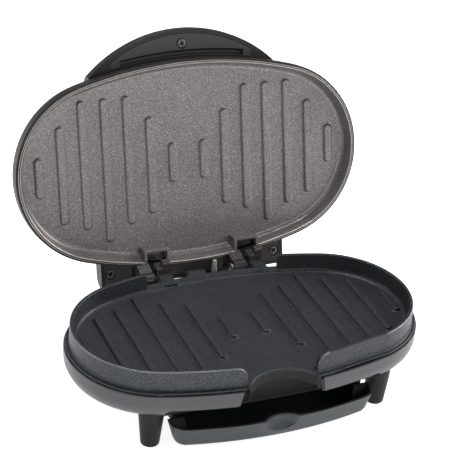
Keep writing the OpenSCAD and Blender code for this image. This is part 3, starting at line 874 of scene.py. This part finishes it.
# ---------------------------------------------------------------- feet
def make_feet():
    profile = [(0, 1.4), (4.6, 1.4), (4.6, 0.6), (4.9, 0.25), (5.6, 0.1)]
    profile += [(6.2 + 1.5 * math.sin(math.radians(a)), 1.7 - 1.6 * math.cos(math.radians(a)))
                for a in (10, 30, 50, 70)]
    profile += [(7.9, 3.6), (10.2, 27.6), (10.2, 35.4), (9.6, 36), (0, 36)]
    feet = scatter(turned(profile, steps=56), [(x, y, 0, 0) for x, y in FEET], foot_plastic)
    hand_over(feet, "feet", foot_plastic, "base",
              ["foot_front_left", "foot_front_right", "foot_rear_left", "foot_rear_right"])
    pad = turned([(0, 0), (3.6, 0), (4.2, 0.25), (4.5, 0.8), (4.5, 1.4), (0, 1.4)], steps=40)
    pads = scatter(pad, [(x, y, 0, 0) for x, y in FEET], black_rubber)
    hand_over(pads, "foot_pads", black_rubber, "base",
              ["pad_front_left", "pad_front_right", "pad_rear_left", "pad_rear_right"])


# ---------------------------------------------------------------- drip tray
def tray_outline(front, rear, back):
    """Outline of the tray with its front and rear parts inset by front and rear."""
    half, corner, narrow, shoulder_y = 87.7, 14.0, 76, -60
    cx = half - corner
    cy = SIDE_Y - math.sqrt((TRAY_R - corner) ** 2 - cx * cx)
    meet = math.degrees(math.atan2(cy - SIDE_Y, cx))
    bow = arc(0, SIDE_Y, TRAY_R - front, -90, meet, 24)
    bow += arc(cx, cy, corner - front, meet, 0, 10)[1:]
    step = shoulder_y - front * 0.9
    right = bow + [(half - front, step), (narrow - rear, step), (narrow - rear, back)]
    return right + [(-x, y) for x, y in reversed(right[1:])]


def tray_rings(inset, low, high, back, foot):
    """Loops of the tray's wall from its foot fillet up to its edge."""
    front_lean, side_lean = 0.26, 0.2
    rings = []
    for lift, tuck in ((0, foot), (foot * 0.13, foot * 0.5), (foot * 0.5, foot * 0.13), (foot, 0)):
        lean = high - low - lift
        outline = tray_outline(inset + lean * front_lean + tuck, inset + lean * side_lean + tuck,
                               back - tuck)
        rings.append([(x, y, low + lift) for x, y in outline])
    return rings + [[(x, y, high) for x, y in tray_outline(inset, inset, back)]]


def make_tray():
    outer, inner = tray_rings(0, 3.8, 24, -8, 5.0), tray_rings(2, 6.0, 24, -10, 4.0)
    tray = loft(outer + inner[::-1], round_trip=False, caps=True)
    # the finger scoop, let into a round hump behind the front wall
    solid = loft(tray_rings(0.4, 4.4, 23.9, -9, 5.0), round_trip=False, caps=True)
    hump = carve(solid, rod((0, SCOOP_Y, 0), 22.2, 40, steps=72), how="INTERSECT")
    carve(tray, hump, how="UNION")
    scoop = [(0, 9), (14.2, 9), (15.4, 9.6), (20, 17), (20, 30), (0, 30)]
    carve(tray, turned(scoop, (0, SCOOP_Y, 0), steps=72))
    ease(tray, 0.55, 2, 40)
    # rims that hang in the rails
    rims = [ease(block((low, -60.6, 22), (high, -8, 24)), 0.5, 2)
            for low, high in ((-80.8, -74.5), (74.5, 80.8))]
    hand_over(join(tray, *rims), "grease_tray", tray_plastic, "tray", ["drip_tray"])


# ---------------------------------------------------------------- lid plate
def make_lid_plate():
    # cooking face with a soft fillet up to the rim, then the rim and the back
    start, pull, end = (-1.2, LID_FLOOR), (2.4, LID_FLOOR), (3.3, 70.6)
    fillet = [tuple((1 - t) ** 2 * a + 2 * t * (1 - t) * b + t * t * c
                    for a, b, c in zip(start, pull, end)) for t in (0.2, 0.4, 0.6, 0.8, 1)]
    rim = arc(6.0, 63.0, 0.6, 195, 270, 3) + arc(7.35, 62.75, 0.35, -90, 0, 2)
    back = [(7.7, 63.2), (6.6, 63.4), (6.6, 73), (6.3, 74.4), (5.2, 77.2), (-40, 77.2)]
    plate = bowl([(-40, LID_FLOOR), start] + fillet + rim + back, turns(*PLATE_STEPS))
    for x in POCKETS_X:
        carve(plate, block((x, 74.5, 60), (x + POCKET_WIDE, 92, 73.4)))
    ease(plate, 0.45, 2, 40)
    extras = []
    wall = 2.5
    for x in POCKETS_X:
        pocket = block((x - wall, 72, 62.4), (x + POCKET_WIDE + wall, 92, 75))
        carve(pocket, block((x, 74.5, 60), (x + POCKET_WIDE, 95, 73.4)))
        carve(pocket, oval_prism(6.5, 60, 80), how="INTERSECT")
        extras.append(ease(pocket, 0.5, 2))
    lug_wide, barrel_r, bore_r = 11, 6.5, 3.05
    for x in BARRELS_X:
        lug = prism([(90, HINGE_Z + 1), (99, 50), (101.8, 54), (97, 63), (91, 68.6),
                     (84.2, 68.6), (84.2, 62.4)], x, x + lug_wide, "x")
        carve(lug, rod((x, HINGE_Y, HINGE_Z), barrel_r, lug_wide, "x", 48), how="UNION")
        carve(lug, rod((x - 1, HINGE_Y, HINGE_Z), bore_r, 14, "x", 32))
        extras.append(ease(lug, 0.6, 2))
    row = ribs(LID_FLOOR + 0.02, -1, 3.8, 3.0, 1.2, lid_plate_coat)
    plate = hand_over(join(plate, *extras, row), "lid_cooking_plate", lid_plate_coat, "lid",
                      ["upper_grill_plate"], lid=True)
    # the hinge barrels in the same grey, darker than the lid plate's coat
    paint_light_and_shade(plate, hinge_grey_painted_light, lambda x, y, z: z < 68.5 and offset_of(x, y) > 8, lid=True)
    # painted shade on the flat face of the rim
    paint_light_and_shade(plate, flat_rim_painted_shade, lambda x, y, z: z < 62.6 and 6.0 < offset_of(x, y) < 7.35, lid=True)
    # painted highlights on the rim's rounded edges
    paint_light_and_shade(plate, lid_rim_painted_highlight, lambda x, y, z: 62.3 < z < 63.1 and
           (5.2 < offset_of(x, y) < 6.0 or 7.35 < offset_of(x, y) < 7.8), lid=True)


# ---------------------------------------------------------------- lid shell
def lid_form(inset, steps=14):
    """Section of the lid's outside, set in by inset, from its rim to the middle of its top."""
    x, z, side = LID_SIDE
    top_x, top = LID_TOP
    side, top = side - inset, top - inset
    return arc(x, z, side, 0, 60, steps) + [
        (top_x + top * math.cos(math.radians(a)), top * math.sin(math.radians(a)))
        for a in (66, 72, 78, 84, 90)]


def lid_solid():
    """The lid filled, set in a little, to cut what is moulded on to it."""
    return bowl([(-40, 55), (9.0, 55)] + lid_form(0.5), turns(*PLATE_STEPS))


def panel_outline(gap=0.0):
    """Outline of the panel let into the handle's underside, with round tips."""
    tip_x = 60.2
    tip_y = HANDLE_Y - math.sqrt((PANEL_R - PANEL_TIP) ** 2 - tip_x * tip_x)
    meet = math.degrees(math.atan2(tip_y - HANDLE_Y, tip_x))
    right = arc(0, HANDLE_Y, PANEL_R + gap, -90, meet, 30)
    right += arc(tip_x, tip_y, PANEL_TIP + gap, meet, 60, 14)[1:] + [(40, -70), (0, -60)]
    return right + [(-x, y) for x, y in reversed(right[1:-1])]


def make_lid_shell():
    rim = arc(8.0, 63.9, 0.5, 180, 270, 2) + arc(8.9, 64.0, 0.6, -90, 0, 3)
    shell = bowl(lid_form(LID_SKIN, 10)[::-1] + rim + lid_form(0), turns(*PLATE_STEPS))
    carve(shell, block((-58, 82, 60), (59, 112, 69.6)))
    ease(shell, 0.4, 2, 40)
    # boxy back behind the hinges, open below for the cover
    rear = prism([(70, 69.5), (103, 69.5)] + arc(93, 73.5, 10, 0, 90, 10) + [(70, 83.5)],
                 -85, 85, "x")
    carve(rear, lid_solid())
    ease(rear, 0.9, 3, 40)
    carve(rear, carve(block((-82, 70, 60), (82, 100, 72.1)), oval_prism(9.4, 50, 90)))
    # crescent handle with a bed for the panel
    edge = [(60, 77.4), (120.4, 77.4), (120.9, 77.9)] + arc(113.9, 85, 7, 0, 90, 8)
    handle = turned(edge + [(60, 92), (60, 77.4)], (0, HANDLE_Y, 0), steps=240)
    carve(handle, block((-84, -140, 70), (84, -60, 100)), how="INTERSECT")
    carve(handle, lid_solid())
    ease(handle, 0.8, 3, 36)
    carve(handle, carve(prism(panel_outline(0.35), 70, 81.5), oval_prism(9.4, 50, 100)))
    carve(shell, rod((0, LENS_Y, 90), 3.1, 20))
    hand_over(join(shell, rear, handle), "lid_shell_and_handle", lid_plastic, "lid",
              ["lid_shell"], lid=True)


def make_grip():
    grip = carve(prism(panel_outline(), 77.4, 81.4), oval_prism(9.9, 50, 100))
    # finger channel along the lid's side
    radius, z = 357.1, 77.2
    groove = [(radius + 2.5 * math.cos(math.radians(a)), z + 2.9 * math.sin(math.radians(a)))
              for a in range(0, 361, 24)]
    groove = turned(groove, (0, SIDE_Y, 0), steps=720)
    carve(groove, block((-56, -120, 60), (56, -60, 100)), how="INTERSECT")
    carve(grip, groove)
    carve(grip, rod((0, HANDLE_SCREW_Y, 70), 4.6, 9.2))
    ease(grip, 0.5, 3, 36)
    hand_over(grip, "handle_grip_panel", grip_plastic, "lid", ["handle_grip"],
              lid=True)


# ---------------------------------------------------------------- small parts
def make_rear_cover():
    cover = block((-82, 70, 69.6), (82, 100, 72))
    carve(cover, oval_prism(9.6, 60, 80))
    for x in (-57, 27):
        carve(cover, block((x, 60, 60), (x + 29.5, 99.4, 80)))
    for x, y in COVER_SCREWS:
        carve(cover, rod((x, y, 60), 4.6, 11))
    ease(cover, 0.35, 2, 40)
    hand_over(cover, "rear_cover", cover_plastic, "lid", ["lid_rear_cover"],
              lid=True)


def make_screws():
    # two in the rear cover
    places = [(x, y, 70.2, turn) for (x, y), turn in zip(COVER_SCREWS, (30, 40))]
    screws = scatter(cross_head_screw(1.9, 8.2, 0.8, 0.5), places, screw_steel)
    hand_over(screws, "rear_cover_screw_pair", screw_steel, "lid",
              ["rear_cover_screws"], lid=True)
    cover_x, cover_y = COVER_SCREWS[1]
    # painted shade in the cross recesses
    paint_light_and_shade(screws, cross_painted_shade, lambda x, y, z: 70.25 < z < 71.5
           and math.hypot(abs(x) - cover_x, y - cover_y) < 3, lid=True)
    # one in the handle
    screw = scatter(cross_head_screw(2.0, 7.0, 1.5, 0.6), [(0, HANDLE_SCREW_Y, 77.4, 70)],
                    screw_steel)
    hand_over(screw, "handle_cross_screw", screw_steel, "lid", ["handle_screw"],
              lid=True)
    # painted shade in the cross recess
    paint_light_and_shade(screw, cross_painted_shade, lambda x, y, z: 77.45 < z < 78.6
           and math.hypot(x, y - HANDLE_SCREW_Y) < 3.3, lid=True)
    # four in the bottom cover, and four that hold the lower plate
    places = [(-128, 0, 25.2, 10), (128, 0, 25.2, 33), (-40, 59.5, 25.2, 51), (40, 59.5, 25.2, 70)]
    screws = scatter(cross_head_screw(1.6, 6, 2, 0.5), places, bright_steel)
    hand_over(screws, "base_cover_screw_set", bright_steel, "base", ["base_cover_screws"])
    places = [(x, y, 32.2, 20 * k) for k, (x, y) in enumerate(BOSSES)]
    screws = scatter(cross_head_screw(1.5, 19.8, 2, 0.4), places, bright_steel)
    hand_over(screws, "lower_plate_screw_set", bright_steel, "base",
              ["lower_plate_screws"])


def make_pins():
    # flat head outside the ear's left face, bevelled end past its right one
    profile = [(0, -15.2), (3.6, -15.2), (4.3, -14.9), (4.6, -14.4), (4.6, -13.9), (4.4, -13.6),
               (3, -13.6), (3, 13.8), (2.5, 14.4), (0, 14.4)]
    for x, name in zip(EARS_X, ("hinge_pin_left", "hinge_pin_right")):
        pin = turned([(r, h + x) for r, h in profile], (0, HINGE_Y, HINGE_Z), "x", 40)
        hand_over(pin, name + "_turned", bright_steel, "hinge_pins", [name])


def make_lens():
    outline = [(0, 93), (3, 93), (3, 99.2), (2.6, 99.8), (1.6, 100.15), (0, 100.2)]
    hand_over(turned(outline, (0, LENS_Y, 0)), "pilot_lens", red_lens, "lid",
              ["indicator_lens"], lid=True)


make_lower_plate()
make_housing()
make_feet()
make_tray()
make_lid_plate()
make_lid_shell()
make_grip()
make_rear_cover()
make_screws()
make_pins()
make_lens()

# finishes of the solids that are shown as they are
kept_solids = {
    "base_cover": cover_plastic, "cord_gland": black_rubber, "thermostat": white_ceramic,
    "thermal_fuse": fuse_shell, "terminal_block": white_ceramic,
    "lower_heating_element": element_sheath, "upper_heating_element": element_sheath,
    "lower_element_clamp": bright_steel, "upper_element_clamp": bright_steel,
    "lower_reflector": mill_sheet, "upper_reflector": mill_sheet,
    "wire_sleeve_lower": glass_braid, "wire_sleeve_upper": glass_braid,
    "upper_plate_screws": bright_steel}
for node_name, finish in kept_solids.items():
    node = nodes[node_name]
    node.data.materials.clear()
    node.data.materials.append(finish)


# ---------------------------------------------------------------- studio
def make_floor():
    """A wide sheet of pale paper, lit evenly from within so that it stays pale."""
    reach = 6.0
    floor = new_object("studio_floor", bpy.data.meshes.new("studio_floor"))
    floor.data.from_pydata([(-reach, -reach, 0), (reach, -reach, 0),
                            (reach, reach, 0), (-reach, reach, 0)], [], [(0, 1, 2, 3)])
    paper = Finish("Studio_paper", roughness=0.9)
    for socket, value in (("Base Color", (0.9, 0.9, 0.9, 1)), ("Emission Color", (1, 1, 1, 1)),
                          ("Emission Strength", 0.85), ("Specular IOR Level", 0.1)):
        paper.shader.inputs[socket].default_value = value
    floor.data.materials.append(paper.material)


def make_light():
    world = bpy.data.worlds.new("Studio")
    bpy.context.scene.world = world
    world.use_nodes = True
    sky = world.node_tree.nodes["Background"]
    sky.inputs["Color"].default_value = (1, 1, 1, 1)
    sky.inputs["Strength"].default_value = 0.16
    bpy.context.scene.view_settings.view_transform = "Standard"
    # square lamps: side seen from above (0 is the front, 90 the right), height above the
    # floor, both in degrees, power and width
    middle, away = Vector((0, 0, 0.1)), 2.0
    for name, side, height, power, size in (
            ("right_box", 90, 22, 25.0, 0.8), ("left_box", -110, 22, 9.0, 0.8),
            ("front_box", 10, 22, 5.5, 0.8), ("front_right_box", 50, 22, 4.0, 0.8),
            ("left_top_box", -60, 55, 3.0, 0.8), ("top_box", 180, 76, 18.0, 0.35)):
        turn, rise = math.radians(side), math.radians(height)
        toward = Vector((math.sin(turn) * math.cos(rise), -math.cos(turn) * math.cos(rise),
                         math.sin(rise)))
        lamp = bpy.data.lights.new(name, "AREA")
        lamp.shape, lamp.size, lamp.energy = "SQUARE", size, power
        holder = bpy.data.objects.new(name, lamp)
        holder.location = middle + away * toward
        holder.rotation_euler = toward.to_track_quat("Z", "Y").to_euler()
        bpy.context.scene.collection.objects.link(holder)


def make_camera():
    """The photograph's view: a long lens from the front left, above the open lid."""
    view = bpy.data.cameras.new("photo_view")
    view.lens, view.sensor_width = 122.7113, 36.0
    view.clip_start, view.clip_end = 0.05, 50.0
    camera = bpy.data.objects.new("photo_view", view)
    stand = (-0.477309, -1.058500, 0.776286)
    right, up, back = ((0.921803, -0.381419, 0.069270), (0.134355, 0.481953, 0.865835),
                       (-0.363631, -0.788823, 0.495511))
    turn = Matrix((right, up, back)).transposed()
    camera.matrix_world = Matrix.Translation(stand) @ turn.to_4x4()
    bpy.context.scene.collection.objects.link(camera)
    bpy.context.scene.camera = camera


make_floor()
make_light()
make_camera()
